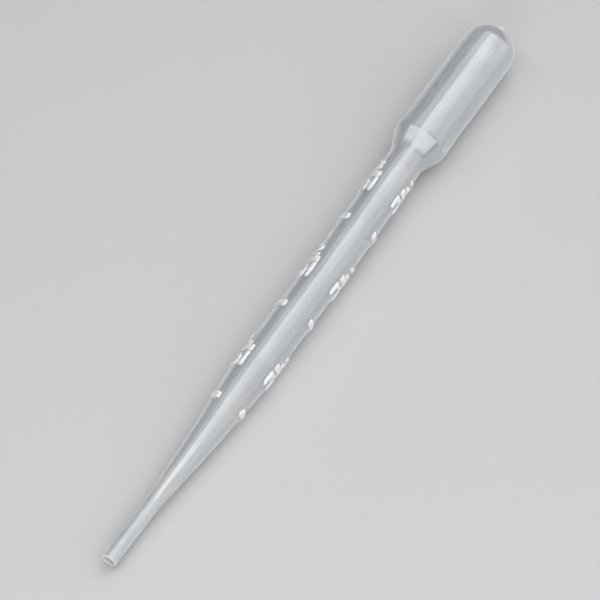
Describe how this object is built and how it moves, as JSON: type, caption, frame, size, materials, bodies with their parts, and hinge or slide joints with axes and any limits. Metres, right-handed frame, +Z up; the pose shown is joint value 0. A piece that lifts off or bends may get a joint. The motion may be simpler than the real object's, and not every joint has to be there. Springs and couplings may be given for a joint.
{
  "type": "dropper pipette",
  "caption": "Soft translucent plastic transfer pipette, blow moulded in one piece: narrow tip, tapered and graduated stem with raised marks, and a squeeze bulb.",
  "frame": {"origin": "on the surface that the pipette lies on, under the middle of its length and width", "axes": "+X from the tip towards the bulb, +Z up from the surface, +Y to the side of the higher of the two rows of graduations; the parting plane holds the part's axis and leans 19.2 degrees from the vertical towards -Y"},
  "size_m": [0.15, 0.0122, 0.0129],
  "materials": {
    "milky_polyethylene": "natural low-density polyethylene, translucent and slightly milky, with a soft satin sheen as it leaves the mould"
  },
  "bodies": {
    "root": {"pipette": "milky_polyethylene"}
  },
  "joints": []
}
